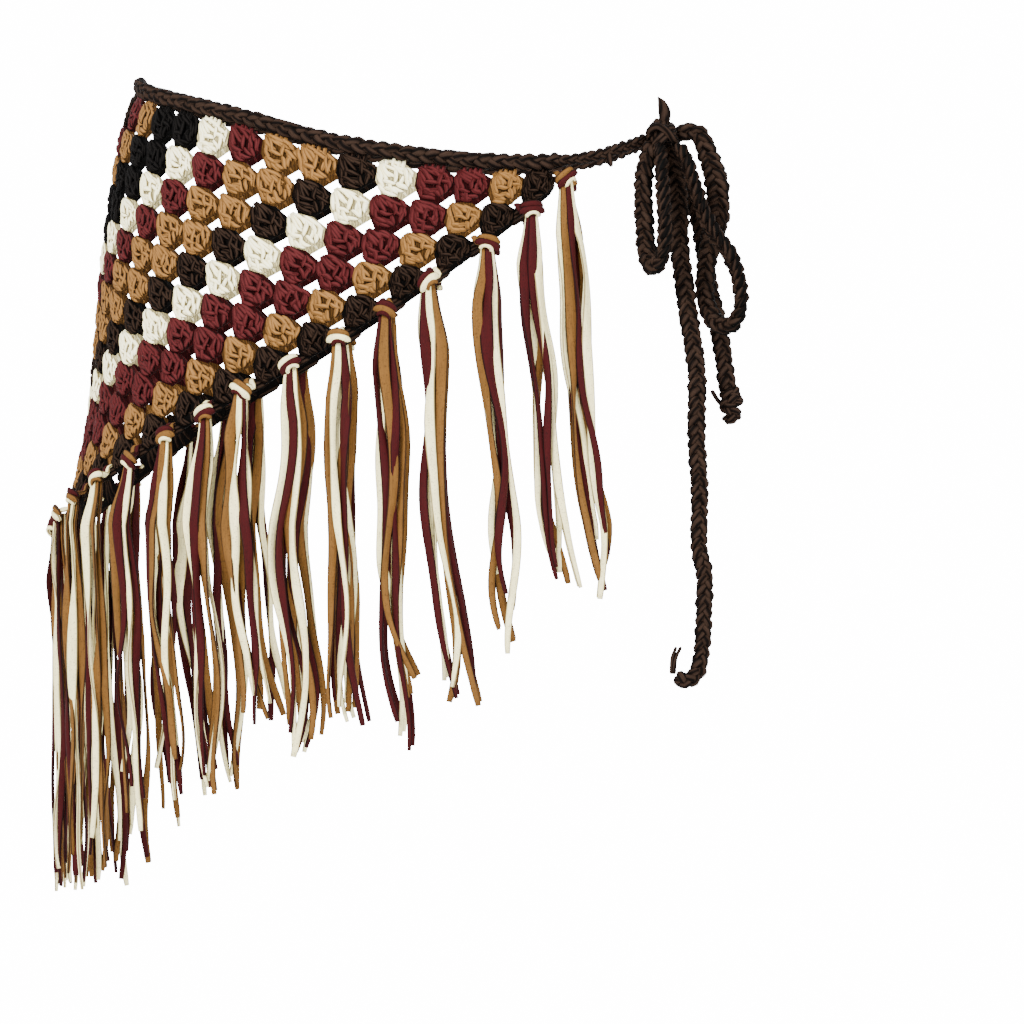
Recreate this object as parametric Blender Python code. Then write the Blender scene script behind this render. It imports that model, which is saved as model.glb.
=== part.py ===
"""Belly dance hip scarf, worn: a granny stitch triangle, its belt cord tied in a bow, and a yarn fringe.

Metres, +Z up. The front is -Y and the spine of the triangle hangs at the -X side of the hip.
The origin is the middle of the waist ring, at the height of the belt at the spine.
"""

import math

import bmesh
import bpy
import numpy as np

# The crocheted panel: rows of granny clusters from the waistband corner of the spine to the hem.
ROWS = 15
CLUSTER_START = 0.17
CLUSTER_END = 0.67
WALL = 0.0022
RELIEF = 0.0018
SPINE_GAP = 0.0004
BELT_TO_PANEL = 0.0044
# The spine runs down the side of the hip and ends this many degrees behind it, at this drop.
SPINE_TURN = 9.0
SPINE_DROP = 0.186

# The belt cord.
BELT_RADIUS = 0.0034
BELT_LIFT = 0.0036
BELT_TWIST_DEPTH = 0.0005
BELT_STEP = 0.0041
BELT_SIDES = 6
STEPS_PER_TWIST = 3
BELT_CORNER_ANGLE = 115.6
KNOT_ANGLE_FRONT = 137.2
KNOT_ANGLE_BACK = 145.2
CORD_DIAMETER = 0.0066
SPINE_BELT_GAP = 0.0007

# The hip form inside the scarf.
DEPTH_PER_BREADTH = 0.766

# drop below the origin, half breadth of the hip form
HIP = (
    (-0.010, 0.1240),
    (0.000, 0.1255),
    (0.014, 0.1305),
    (0.040, 0.1354),
    (0.067, 0.1392),
    (0.112, 0.1430),
    (0.146, 0.1464),
    (0.170, 0.1514),
    (0.190, 0.1560),
)

# angle from the spine in degrees, height of the belt
BELT_HEIGHT = (
    (0, 0.0040),
    (30, -0.0030),
    (56, -0.0125),
    (75, -0.0230),
    (90, -0.0286),
    (104, -0.0310),
    (120, -0.0298),
    (140, -0.0205),
    (160, -0.0175),
    (180, -0.0175),
)

# angle from the spine in degrees, share of the hip form's half breadth that the belt cord keeps
BELT_REACH = (
    (0, 0.978),
    (30, 0.992),
    (56, 1.0),
    (112, 1.0),
    (140, 0.96),
    (160, 0.90),
    (180, 0.89),
)

# The fringe: one tassel at each gap of the hem, six strands folded over and tied on.
HEAD_RADIUS = 0.0046
HEAD_HEIGHT = 0.0070
STRAND_INSET = 0.0004
STRAND_STATIONS = (0.0, 0.13, 0.42, 0.72, 1.0)
STRAND_SHARES = (1.0, 0.25, 0.7, 0.0, 0.85, 0.45)
LANE_SPREAD = 0.0012
HANGING_LIFT = 0.0050

# columns from the spine, shift in columns, shift in rows, lift off the hip form,
# swing of the ends away from the spine, longest strand, shortest strand
TASSELS = (
    (15, 0.30, 0.28, 0.0052, 0.006, 0.181, 0.155),
    (14, 0.42, 0.26, 0.0068, 0.006, 0.162, 0.150),
    (13, 0.42, 0.30, 0.0068, 0.006, 0.176, 0.141),
    (12, 0.12, 0.48, 0.0075, 0.011, 0.182, 0.171),
    (11, 0.23, 0.40, 0.0068, 0.008, 0.189, 0.147),
    (10, 0.25, 0.34, 0.0069, 0.006, 0.166, 0.155),
    (9, 0.22, 0.32, 0.0069, 0.008, 0.168, 0.154),
    (8, 0.12, 0.36, 0.0073, 0.011, 0.143, 0.126),
    (7, 0.34, 0.36, 0.0068, 0.011, 0.163, 0.152),
    (6, 0.38, 0.34, 0.0068, 0.009, 0.156, 0.132),
    (5, 0.44, 0.40, 0.0065, 0.008, 0.159, 0.133),
    (4, 0.36, 0.36, 0.0068, 0.006, 0.167, 0.150),
    (3, 0.34, 0.38, 0.0067, 0.005, 0.169, 0.149),
    (2, 0.30, 0.46, 0.0066, 0.003, 0.160, 0.150),
    (1, 0.30, 0.50, 0.0065, 0.001, 0.157, 0.146),
    (0, 0.00, 0.45, 0.0052, 0.000, 0.155, 0.146),
)

# The bow: routes of the cords from the knot, as across, depth and height.
KNOT_CENTRE = (0.1043, -0.0715, -0.0189)
KNOT_SIZE = (0.0066, 0.0115, 0.0056)

LOOP_LEFT = (
    (0.1001, -0.0778, -0.0231),
    (0.0971, -0.0802, -0.0335),
    (0.0962, -0.0800, -0.0450),
    (0.0970, -0.0805, -0.0600),
    (0.0982, -0.0825, -0.0715),
    (0.1005, -0.0880, -0.0765),
    (0.1040, -0.0935, -0.0740),
    (0.1058, -0.0955, -0.0650),
    (0.1054, -0.0945, -0.0500),
    (0.1043, -0.0895, -0.0350),
    (0.1036, -0.0821, -0.0239),
)

LOOP_RIGHT = (
    (0.1122, -0.0700, -0.0186),
    (0.1165, -0.0710, -0.0174),
    (0.1212, -0.0715, -0.0190),
    (0.1244, -0.0715, -0.0270),
    (0.1285, -0.0715, -0.0400),
    (0.1292, -0.0715, -0.0550),
    (0.1262, -0.0710, -0.0670),
    (0.1238, -0.0705, -0.0800),
    (0.1238, -0.0710, -0.0920),
    (0.1278, -0.0745, -0.1010),
    (0.1345, -0.0805, -0.1030),
    (0.1388, -0.0845, -0.0960),
    (0.1384, -0.0855, -0.0840),
    (0.1345, -0.0860, -0.0720),
    (0.1268, -0.0860, -0.0610),
    (0.1215, -0.0855, -0.0500),
    (0.1180, -0.0845, -0.0390),
    (0.1145, -0.0825, -0.0290),
    (0.1112, -0.0795, -0.0243),
)

END_LONG = (
    (0.1068, -0.0721, -0.0244),
    (0.1108, -0.0745, -0.0400),
    (0.1118, -0.0750, -0.0555),
    (0.1124, -0.0755, -0.0690),
    (0.1144, -0.0765, -0.0830),
    (0.1158, -0.0775, -0.0960),
    (0.1180, -0.0785, -0.1110),
    (0.1200, -0.0790, -0.1270),
    (0.1199, -0.0795, -0.1530),
    (0.1209, -0.0795, -0.1750),
    (0.1210, -0.0795, -0.2000),
    (0.1234, -0.0795, -0.2120),
    (0.1230, -0.0795, -0.2280),
    (0.1219, -0.0795, -0.2460),
    (0.1196, -0.0795, -0.2560),
    (0.1150, -0.0795, -0.2590),
    (0.1108, -0.0790, -0.2575),
)

END_SHORT = (
    (0.1078, -0.0643, -0.0227),
    (0.1118, -0.0610, -0.0300),
    (0.1144, -0.0610, -0.0365),
    (0.1192, -0.0612, -0.0497),
    (0.1228, -0.0612, -0.0651),
    (0.1250, -0.0612, -0.0827),
    (0.1285, -0.0620, -0.1003),
    (0.1311, -0.0630, -0.1135),
    (0.1337, -0.0643, -0.1313),
)

END_KNOT_CENTRE = (0.1350, -0.0645, -0.1385)
END_KNOT_SIZE = (0.0052, 0.0050, 0.0078)

# along the tuft: across, depth and height of its middle, half width
KNOT_TUFT = (
    (0.1042, -0.0715, -0.0137, 0.0019),
    (0.1034, -0.0715, -0.0095, 0.0026),
    (0.1026, -0.0715, -0.0055, 0.0018),
    (0.1020, -0.0715, -0.0022, 0.0008),
)

LONG_END_TAIL = (
    (0.1092, -0.0790, -0.2536, 0.0017),
    (0.1098, -0.0790, -0.2490, 0.0020),
    (0.1118, -0.0790, -0.2440, 0.0010),
)

YARN = {
    "dark_brown": (0.035, 0.020, 0.014),
    "burgundy": (0.150, 0.012, 0.018),
    "tan": (0.420, 0.170, 0.050),
}


def table_value(table, at):
    """A table's second column at a value of its first, along a smooth curve."""
    rows = np.array(table, float)
    places, values = rows[:, 0], rows[:, 1]
    slopes = np.gradient(values, places)
    at = np.clip(at, places[0], places[-1])
    k = np.clip(np.searchsorted(places, at) - 1, 0, len(places) - 2)
    span = places[k + 1] - places[k]
    t = (at - places[k]) / span
    start = (1 + 2 * t) * (1 - t) ** 2 * values[k] + t * (1 - t) ** 2 * span * slopes[k]
    end = t * t * (3 - 2 * t) * values[k + 1] - t * t * (1 - t) * span * slopes[k + 1]
    return start + end


def outward(angle, side):
    """The level direction that points off the hip form, at an angle from the spine."""
    turn = math.radians(angle)
    out = np.array((-math.cos(turn), side * math.sin(turn) / DEPTH_PER_BREADTH, 0.0))
    return out / np.linalg.norm(out)


def hip_point(angle, height, lift, side, reach=1.0):
    """A point over the hip form. side is -1 in front and 1 behind."""
    half_breadth = table_value(HIP, -height)
    turn = math.radians(angle)
    across = -half_breadth * math.cos(turn) * reach
    depth = side * half_breadth * DEPTH_PER_BREADTH * math.sin(turn)
    return np.array((across, depth, height)) + lift * outward(angle, side)


def lattice_place(column, row, side):
    """Angle and height on the hip form of a place in the crochet.

    Columns are counted in clusters from the spine, rows in clusters from the waistband.
    """
    u = column / ROWS
    v = row / ROWS
    start = 124.0 * u + 10.1 * u * u - 18.7 * u**3
    angle = start + u * v * (6.0 - 37.7 * u - 28.8 * v - 6.6 * u * v)
    drop = v * (0.1941 + 0.1267 * u - 0.1211 * u * u - 0.0078 * v - 0.0102 * u * v)
    angle += side * SPINE_TURN * (drop / SPINE_DROP) ** 4
    return angle, float(table_value(BELT_HEIGHT, start)) - BELT_TO_PANEL - drop


def panel_point(column, row, lift, side):
    angle, height = lattice_place(column, row, side)
    point = hip_point(angle, height, lift, side)
    point[1] += side * SPINE_GAP / 2
    return point


def material(name, colour):
    made = bpy.data.materials.new(name)
    made.use_nodes = True
    shader = made.node_tree.nodes["Principled BSDF"]
    shader.inputs["Base Color"].default_value = (*colour, 1.0)
    shader.inputs["Roughness"].default_value = 0.85
    return made


def mesh_object(name, points, faces, colour):
    """A closed mesh with its faces turned out."""
    mesh = bpy.data.meshes.new(name)
    mesh.from_pydata([tuple(point) for point in points], [], faces)
    body = bmesh.new()
    body.from_mesh(mesh)
    bmesh.ops.recalc_face_normals(body, faces=body.faces)
    if body.calc_volume(signed=True) < 0:
        bmesh.ops.reverse_faces(body, faces=body.faces)
    body.to_mesh(mesh)
    body.free()
    made = bpy.data.objects.new(name, mesh)
    made.data.materials.append(material("mat_" + name, YARN[colour]))
    bpy.context.scene.collection.objects.link(made)
    return made


def cluster_border(column, row):
    """The eight corners of a cluster's outline. The gaps between clusters are at the cut corners."""
    a, b = CLUSTER_START, CLUSTER_END
    shares = ((a, 0), (b, 0), (1, a), (1, b), (b, 1), (a, 1), (0, b), (0, a))
    return [(round(column + s, 3), round(row + t, 3)) for s, t in shares]


def panel(name, side):
    """Half the triangle: fan-shaped clusters raised on the outer side of a plain wall, with open gaps.

    A bridge joins each pair of hem clusters outside the gap that their tassel is tied through.
    """
    fan = ((0.34, 0.14), (0.86, 0.34), (0.76, 0.76), (0.34, 0.86), (0.14, 0.34))
    points = []
    index = {}

    def corner(place, lift):
        key = (place, lift)
        if key not in index:
            index[key] = len(points)
            points.append(panel_point(*place, lift, side))
        return index[key]

    outlines = []
    faces = []
    for column in range(ROWS):
        for row in range(ROWS - column):
            border = cluster_border(column, row)
            outlines.append(border)
            edge = [corner(place, WALL) for place in border]
            top = [corner((round(column + s, 3), round(row + t, 3)), WALL + RELIEF) for s, t in fan]
            faces += [
                (edge[7], edge[0], top[0], top[4]),
                (edge[0], edge[1], top[1], top[0]),
                (edge[1], edge[2], top[1]),
                (edge[2], edge[3], top[2], top[1]),
                (edge[3], edge[4], top[2]),
                (edge[4], edge[5], top[3], top[2]),
                (edge[5], edge[6], top[3]),
                (edge[6], edge[7], top[4], top[3]),
                tuple(top),
            ]
    for column in range(1, ROWS):
        row = ROWS - column
        bridge = [
            (round(column + CLUSTER_START, 3), row),
            (round(column + CLUSTER_END, 3), row),
            (column, round(row + CLUSTER_END, 3)),
            (column, round(row + CLUSTER_START, 3)),
        ]
        outlines.append(bridge)
        faces.append(tuple(corner(place, WALL) for place in bridge))

    uses = {}
    for outline in outlines:
        faces.append(tuple(corner(place, 0.0) for place in reversed(outline)))
        for start, end in zip(outline, outline[1:] + outline[:1]):
            key = tuple(sorted((start, end)))
            uses[key] = uses.get(key, 0) + 1
    for (start, end), count in uses.items():
        if count == 1:
            faces.append((corner(start, WALL), corner(end, WALL), corner(end, 0.0), corner(start, 0.0)))
    return mesh_object(name, points, faces, "burgundy")


def ring_body(name, rings, colour):
    """A closed body through rings of equal numbers of points."""
    sides = len(rings[0])
    points = [point for ring in rings for point in ring]
    faces = []
    for k in range(len(rings) - 1):
        for m in range(sides):
            n = (m + 1) % sides
            faces.append((k * sides + m, k * sides + n, (k + 1) * sides + n, (k + 1) * sides + m))
    faces.append(tuple(range(sides)))
    faces.append(tuple((len(rings) - 1) * sides + m for m in range(sides)))
    return mesh_object(name, points, faces, colour)


def belt_point(angle, side):
    height = float(table_value(BELT_HEIGHT, angle))
    reach = float(table_value(BELT_REACH, angle))
    return hip_point(angle, height, BELT_LIFT, side, reach)


def belt_route(stops):
    """Even steps along the belt through pairs of angle and side."""
    fine = []
    for (first, side), (last, _) in stops:
        fine += [belt_point(angle, side) for angle in np.linspace(first, last, 200)]
    fine = np.array(fine)
    along = np.concatenate([[0.0], np.cumsum(np.linalg.norm(np.diff(fine, axis=0), axis=1))])
    count = max(3, round(along[-1] / BELT_STEP))
    places = np.linspace(0.0, along[-1], count + 1)
    return np.stack([np.interp(places, along, fine[:, k]) for k in range(3)], axis=1)


def belt_length(name, stops):
    """A length of the belt cord with the strands of its twist raised."""
    route = belt_route(stops)
    tangents = np.gradient(route, axis=0)
    rings = []
    for k, (point, tangent) in enumerate(zip(route, tangents)):
        tangent = tangent / np.linalg.norm(tangent)
        level = np.cross(tangent, (0.0, 0.0, 1.0))
        level /= np.linalg.norm(level)
        upward = np.cross(level, tangent)
        ring = []
        for m in range(BELT_SIDES):
            turn = 2 * math.pi * m / BELT_SIDES
            twist = math.cos(2 * turn - 2 * math.pi * k / STEPS_PER_TWIST)
            radius = BELT_RADIUS + BELT_TWIST_DEPTH * twist
            ring.append(point + radius * (math.cos(turn) * level + math.sin(turn) * upward))
        rings.append(ring)
    return ring_body(name, rings, "dark_brown")


def smooth_route(route, spacing):
    """Points at an even spacing on a smooth curve through hand-chosen route points."""
    route = np.array(route, float)
    ends = np.vstack([2 * route[0] - route[1], route, 2 * route[-1] - route[-2]])
    fine = []
    for k in range(len(route) - 1):
        p0, p1, p2, p3 = ends[k : k + 4]
        for t in np.linspace(0, 1, 24, endpoint=False):
            fine.append(
                0.5
                * (
                    2 * p1
                    + (p2 - p0) * t
                    + (2 * p0 - 5 * p1 + 4 * p2 - p3) * t * t
                    + (3 * p1 - p0 - 3 * p2 + p3) * t**3
                )
            )
    fine = np.array(fine + [route[-1]])
    along = np.concatenate([[0.0], np.cumsum(np.linalg.norm(np.diff(fine, axis=0), axis=1))])
    count = max(2, round(along[-1] / spacing))
    places = np.linspace(0.0, along[-1], count + 1)
    return np.stack([np.interp(places, along, fine[:, k]) for k in range(3)], axis=1)


def cord(name, route, spacing):
    """A free cord as a round tube."""
    curve = bpy.data.curves.new(name, "CURVE")
    curve.dimensions = "3D"
    curve.bevel_depth = CORD_DIAMETER / 2
    curve.bevel_resolution = 2
    curve.use_fill_caps = True
    curve.render_resolution_u = 0
    spline = curve.splines.new("POLY")
    points = smooth_route(route, spacing)
    spline.points.add(len(points) - 1)
    for target, point in zip(spline.points, points):
        target.co = (*point, 1.0)
    made = bpy.data.objects.new(name, curve)
    made.data.materials.append(material("mat_" + name, YARN["dark_brown"]))
    bpy.context.scene.collection.objects.link(made)
    return made


def lump(name, centre, size, turns):
    """A pulled knot: a rounded body with the wraps of the cord raised round it."""
    sides = 10
    rings = []
    for share in (-0.86, -0.5, 0.0, 0.5, 0.86):
        ring = []
        for m in range(sides):
            turn = 2 * math.pi * m / sides
            wrap = 1 + 0.08 * math.cos(turns * turn + 3 * share)
            level = math.sqrt(1 - share * share) * wrap
            ring.append(
                (
                    centre[0] + size[0] * level * math.cos(turn),
                    centre[1] + size[1] * level * math.sin(turn),
                    centre[2] + size[2] * share,
                )
            )
        rings.append(ring)
    return ring_body(name, rings, "dark_brown")


def tuft(name, rows):
    """A short loose end of yarn."""
    rings = []
    for across, depth, height, half in rows:
        ring = []
        for m in range(6):
            turn = 2 * math.pi * m / 6
            ring.append((across + half * math.cos(turn), depth + half * math.sin(turn), height))
        rings.append(ring)
    return ring_body(name, rings, "dark_brown")


def tassel(name, row, side):
    """A lark's head knot with six strands. The strands leave its foot and hang down the hip form."""
    column, shift_column, shift_row, lift, swing, longest, shortest = row
    angle, height = lattice_place(column + shift_column, ROWS - column + shift_row, side)
    out = outward(angle, side)
    aside = np.array((-out[1], out[0], 0.0)) * -side
    centre = hip_point(angle, height, lift, side)

    def level_point(middle, radius, m):
        turn = math.pi * m / 3
        return middle + radius * (math.cos(turn) * aside + math.sin(turn) * out)

    points = []
    faces = []
    for share, radius in ((0.5, 0.6), (0.1, 1.0), (-0.5, 1.0)):
        middle = centre + np.array((0.0, 0.0, share * HEAD_HEIGHT))
        points += [level_point(middle, radius * HEAD_RADIUS, m) for m in range(6)]
    faces.append((0, 1, 2, 3, 4, 5))
    for k in range(2):
        for m in range(6):
            n = (m + 1) % 6
            faces.append((6 * k + m, 6 * k + n, 6 * k + 6 + n, 6 * k + 6 + m))
    foot = centre - np.array((0.0, 0.0, HEAD_HEIGHT / 2))
    hub = len(points)
    points.append(foot)

    for m in range(6):
        n = (m + 1) % 6
        sector = [hub, 12 + m, 12 + n]
        middle = sum(points[k] for k in sector) / 3
        spread = np.dot(middle - foot, aside) / HEAD_RADIUS
        keep = 1 - STRAND_INSET * 2 * math.sqrt(3) / HEAD_RADIUS
        root = [middle + keep * (points[k] - middle) for k in sector]
        length = shortest + (longest - shortest) * STRAND_SHARES[m]
        last = sector
        for share in STRAND_STATIONS:
            drop = share * length
            ease = min(1.0, share / 0.13)
            sway = swing * share**1.4 + 0.0012 * math.sin(9 * share + 2.1 * column) * ease
            on_form = hip_point(angle, foot[2] - drop, 0.0, side)
            lean = lift + (min(lift, HANGING_LIFT) - lift) * min(1.0, share / 0.42)
            middle_now = on_form + out * (lean + np.dot(middle - foot, out))
            across = np.dot(middle - foot, aside) + sway + LANE_SPREAD * spread / 0.5 * ease
            middle_now = middle_now + across * aside
            ring = []
            for point in root:
                ring.append(len(points))
                points.append(point - middle + middle_now)
            for k in range(3):
                faces.append((last[k], last[(k + 1) % 3], ring[(k + 1) % 3], ring[k]))
            last = ring
        faces.append(tuple(last))
    colour = ("tan", "burgundy")[column % 2]
    return mesh_object(name, points, faces, colour)


def main():
    for old in list(bpy.data.objects):
        bpy.data.objects.remove(old)

    gap_angle = math.degrees(SPINE_BELT_GAP / (DEPTH_PER_BREADTH * 0.126))
    for place, side in (("front", -1), ("back", 1)):
        panel("panel_" + place, side)
        belt_length("waistband_" + place, [((gap_angle, side), (BELT_CORNER_ANGLE, side))])
    after = BELT_CORNER_ANGLE + 0.25
    belt_length("tie_front", [((after, -1), (KNOT_ANGLE_FRONT, -1))])
    belt_length("tie_back", [((after, 1), (180.0, 1)), ((179.9, -1), (KNOT_ANGLE_BACK, -1))])

    lump("bow_knot", KNOT_CENTRE, KNOT_SIZE, 3)
    tuft("bow_tuft", KNOT_TUFT)
    cord("bow_loop_left", LOOP_LEFT, 0.011)
    cord("bow_loop_right", LOOP_RIGHT, 0.013)
    cord("tie_end_long", END_LONG, 0.014)
    cord("tie_end_short", END_SHORT, 0.015)
    lump("end_knot_short", END_KNOT_CENTRE, END_KNOT_SIZE, 2)
    tuft("end_tail_long", LONG_END_TAIL)

    for number, row in enumerate(TASSELS[:-1], 1):
        tassel("tassel_front_%02d" % number, row, -1)
        tassel("tassel_back_%02d" % number, row, 1)
    tassel("tassel_apex", TASSELS[-1], -1)


main()
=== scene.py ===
"""Looks of the belly dance hip scarf: granny stitch yarn, plaited belt cord, bow and fringe."""

import math

import bpy
import numpy as np
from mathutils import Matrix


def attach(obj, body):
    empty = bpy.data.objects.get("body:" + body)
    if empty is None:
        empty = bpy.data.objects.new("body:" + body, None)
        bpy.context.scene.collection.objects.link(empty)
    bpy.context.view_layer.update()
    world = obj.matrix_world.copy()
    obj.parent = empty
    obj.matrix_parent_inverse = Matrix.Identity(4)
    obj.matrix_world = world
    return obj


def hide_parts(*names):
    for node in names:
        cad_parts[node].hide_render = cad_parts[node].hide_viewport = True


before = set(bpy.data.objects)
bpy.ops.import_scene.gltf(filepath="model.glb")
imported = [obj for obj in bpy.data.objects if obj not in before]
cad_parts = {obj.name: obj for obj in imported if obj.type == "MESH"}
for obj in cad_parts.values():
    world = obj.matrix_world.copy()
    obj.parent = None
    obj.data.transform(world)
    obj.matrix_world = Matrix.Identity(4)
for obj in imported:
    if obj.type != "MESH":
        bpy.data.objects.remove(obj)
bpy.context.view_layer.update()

# Sizes of the frame, as in the part.
ROWS = 15
SHELL_START = 0.22
SHELL_END = 0.61
SPINE_GAP = 0.0004
BELT_TO_PANEL = 0.0044
SPINE_TURN = 9.0
SPINE_DROP = 0.186
BELT_LIFT = 0.0036
BELT_CORNER_ANGLE = 115.6
KNOT_ANGLE_FRONT = 137.2
KNOT_ANGLE_BACK = 145.2
DEPTH_PER_BREADTH = 0.766

# The plaits: half width of the plait, half depth, radius of a strand, length of one full turn.
BELT_PLAIT = (0.0017, 0.0011, 0.00212, 0.0178)
TIE_PLAIT = (0.00125, 0.0010, 0.00160, 0.0125)
FREE_PLAIT = (0.0020, 0.0012, 0.00192, 0.0124)

# Share by which each strand of a plait thickens and thins along its length.
SWELL = 0.12

# Drop below the origin, half breadth of the hip form.
HIP = (
    (-0.010, 0.1240),
    (0.000, 0.1255),
    (0.014, 0.1305),
    (0.040, 0.1354),
    (0.067, 0.1392),
    (0.112, 0.1430),
    (0.146, 0.1464),
    (0.170, 0.1514),
    (0.190, 0.1560),
)

# Angle from the spine in degrees, height of the belt.
BELT_HEIGHT = (
    (0, 0.0040),
    (30, -0.0030),
    (56, -0.0125),
    (75, -0.0230),
    (90, -0.0286),
    (104, -0.0310),
    (120, -0.0298),
    (140, -0.0205),
    (160, -0.0175),
    (180, -0.0175),
)

# Angle from the spine in degrees, share of the hip form's half breadth that the belt cord keeps.
BELT_REACH = (
    (0, 0.978),
    (30, 0.992),
    (56, 1.0),
    (112, 1.0),
    (140, 0.96),
    (160, 0.90),
    (180, 0.89),
)

HEAD_RADIUS = 0.0046
HEAD_HEIGHT = 0.0070
STRAND_SHARES = (1.0, 0.25, 0.7, 0.0, 0.85, 0.45)
LANE_SPREAD = 0.0012
HANGING_LIFT = 0.0050

# Columns from the spine, shift in columns, shift in rows, lift off the hip form,
# swing of the ends away from the spine, longest strand, shortest strand.
TASSELS = (
    (15, 0.30, 0.28, 0.0052, 0.006, 0.181, 0.155),
    (14, 0.42, 0.26, 0.0068, 0.006, 0.162, 0.150),
    (13, 0.42, 0.30, 0.0068, 0.006, 0.176, 0.141),
    (12, 0.12, 0.48, 0.0075, 0.011, 0.182, 0.171),
    (11, 0.23, 0.40, 0.0068, 0.008, 0.189, 0.147),
    (10, 0.25, 0.34, 0.0069, 0.006, 0.166, 0.155),
    (9, 0.22, 0.32, 0.0069, 0.008, 0.168, 0.154),
    (8, 0.12, 0.36, 0.0073, 0.011, 0.143, 0.126),
    (7, 0.34, 0.36, 0.0068, 0.011, 0.163, 0.152),
    (6, 0.38, 0.34, 0.0068, 0.009, 0.156, 0.132),
    (5, 0.44, 0.40, 0.0065, 0.008, 0.159, 0.133),
    (4, 0.36, 0.36, 0.0068, 0.006, 0.167, 0.150),
    (3, 0.34, 0.38, 0.0067, 0.005, 0.169, 0.149),
    (2, 0.30, 0.46, 0.0066, 0.003, 0.160, 0.150),
    (1, 0.30, 0.50, 0.0065, 0.001, 0.157, 0.146),
    (0, 0.00, 0.45, 0.0052, 0.000, 0.155, 0.146),
)

# Yarn of each strand of a tassel, outer row then inner row: c cream, b burgundy, t tan.
TASSEL_YARNS = (
    "cbtcbt", "cbbctc", "cbtctb", "tcbctb", "btbcct", "bctbct", "cbctbt", "bctbtc",
    "tbcbtc", "ctbcbt", "cbtctb", "tcbcbt", "ctbcbt", "bctbct", "cbtbct", "btcbtc",
)

KNOT_CENTRE = (0.1043, -0.0715, -0.0189)

LOOP_LEFT = (
    (0.1001, -0.0778, -0.0231),
    (0.0971, -0.0802, -0.0335),
    (0.0962, -0.0800, -0.0450),
    (0.0970, -0.0805, -0.0600),
    (0.0982, -0.0825, -0.0715),
    (0.1005, -0.0880, -0.0765),
    (0.1040, -0.0935, -0.0740),
    (0.1058, -0.0955, -0.0650),
    (0.1054, -0.0945, -0.0500),
    (0.1043, -0.0895, -0.0350),
    (0.1036, -0.0821, -0.0239),
)

LOOP_RIGHT = (
    (0.1122, -0.0700, -0.0186),
    (0.1165, -0.0710, -0.0174),
    (0.1212, -0.0715, -0.0190),
    (0.1244, -0.0715, -0.0270),
    (0.1285, -0.0715, -0.0400),
    (0.1292, -0.0715, -0.0550),
    (0.1262, -0.0710, -0.0670),
    (0.1238, -0.0705, -0.0800),
    (0.1238, -0.0710, -0.0920),
    (0.1278, -0.0745, -0.1010),
    (0.1345, -0.0805, -0.1030),
    (0.1388, -0.0845, -0.0960),
    (0.1384, -0.0855, -0.0840),
    (0.1345, -0.0860, -0.0720),
    (0.1268, -0.0860, -0.0610),
    (0.1215, -0.0855, -0.0500),
    (0.1180, -0.0845, -0.0390),
    (0.1145, -0.0825, -0.0290),
    (0.1112, -0.0795, -0.0243),
)

END_LONG = (
    (0.1068, -0.0721, -0.0244),
    (0.1108, -0.0745, -0.0400),
    (0.1118, -0.0750, -0.0555),
    (0.1124, -0.0755, -0.0690),
    (0.1144, -0.0765, -0.0830),
    (0.1158, -0.0775, -0.0960),
    (0.1180, -0.0785, -0.1110),
    (0.1200, -0.0790, -0.1270),
    (0.1199, -0.0795, -0.1530),
    (0.1209, -0.0795, -0.1750),
    (0.1210, -0.0795, -0.2000),
    (0.1234, -0.0795, -0.2120),
    (0.1230, -0.0795, -0.2280),
    (0.1219, -0.0795, -0.2460),
    (0.1196, -0.0795, -0.2560),
    (0.1150, -0.0795, -0.2590),
    (0.1108, -0.0790, -0.2575),
)

END_SHORT = (
    (0.1078, -0.0643, -0.0227),
    (0.1118, -0.0610, -0.0300),
    (0.1144, -0.0610, -0.0365),
    (0.1192, -0.0612, -0.0497),
    (0.1228, -0.0612, -0.0651),
    (0.1250, -0.0612, -0.0827),
    (0.1285, -0.0620, -0.1003),
    (0.1311, -0.0630, -0.1135),
    (0.1337, -0.0643, -0.1313),
)

END_KNOT_CENTRE = (0.1350, -0.0645, -0.1385)
KNOT_TUFT = (
    (0.1050, -0.0722, -0.0175),
    (0.1056, -0.0722, -0.0130),
    (0.1057, -0.0720, -0.0090),
    (0.1046, -0.0718, -0.0052),
    (0.1028, -0.0716, -0.0022),
)
LONG_END_TAIL = ((0.1092, -0.0790, -0.2560), (0.1098, -0.0790, -0.2490), (0.1118, -0.0790, -0.2440))

# The yarns: colour of the crests, painted shade colour for the crevices and the strands' sides (on the tapes
# also the colour of their darker speckles), painted highlight colour where ply crests and fibres are
# lightest.
YARNS = {
    "cream": ((0.95, 0.86, 0.45), (0.17, 0.12, 0.045), (0.98, 0.94, 0.68)),
    "tan": ((0.132, 0.0590, 0.0125), (0.011, 0.004, 0.0009), (0.205, 0.098, 0.0270)),
    "burgundy": ((0.032, 0.0015, 0.0020), (0.005, 0.0003, 0.0004), (0.058, 0.0065, 0.0070)),
    "dark_brown": ((0.0017, 0.0007, 0.0004), (0.0001, 0.0001, 0.0001), (0.020, 0.0110, 0.0070)),
    "black": ((0.0006, 0.0004, 0.0004), (0.0002, 0.0001, 0.0001), (0.0050, 0.0042, 0.0038)),
}
# Cord colours in the same order: crest, painted shade, painted highlight.
CORD_COLOURS = ((0.0017, 0.0007, 0.0004), (0.0001, 0.0001, 0.0001), (0.022, 0.0120, 0.0078))

# Yarns that shine less.
DULL_YARNS = ("dark_brown", "black")

# Rows of the triangle from the waistband corner of the spine to the hem.
ROW_YARNS = (
    "dark_brown", "burgundy", "tan", "black", "black", "cream", "burgundy", "tan",
    "tan", "dark_brown", "cream", "burgundy", "burgundy", "tan", "dark_brown",
)


# Forms shared with the part.

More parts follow.
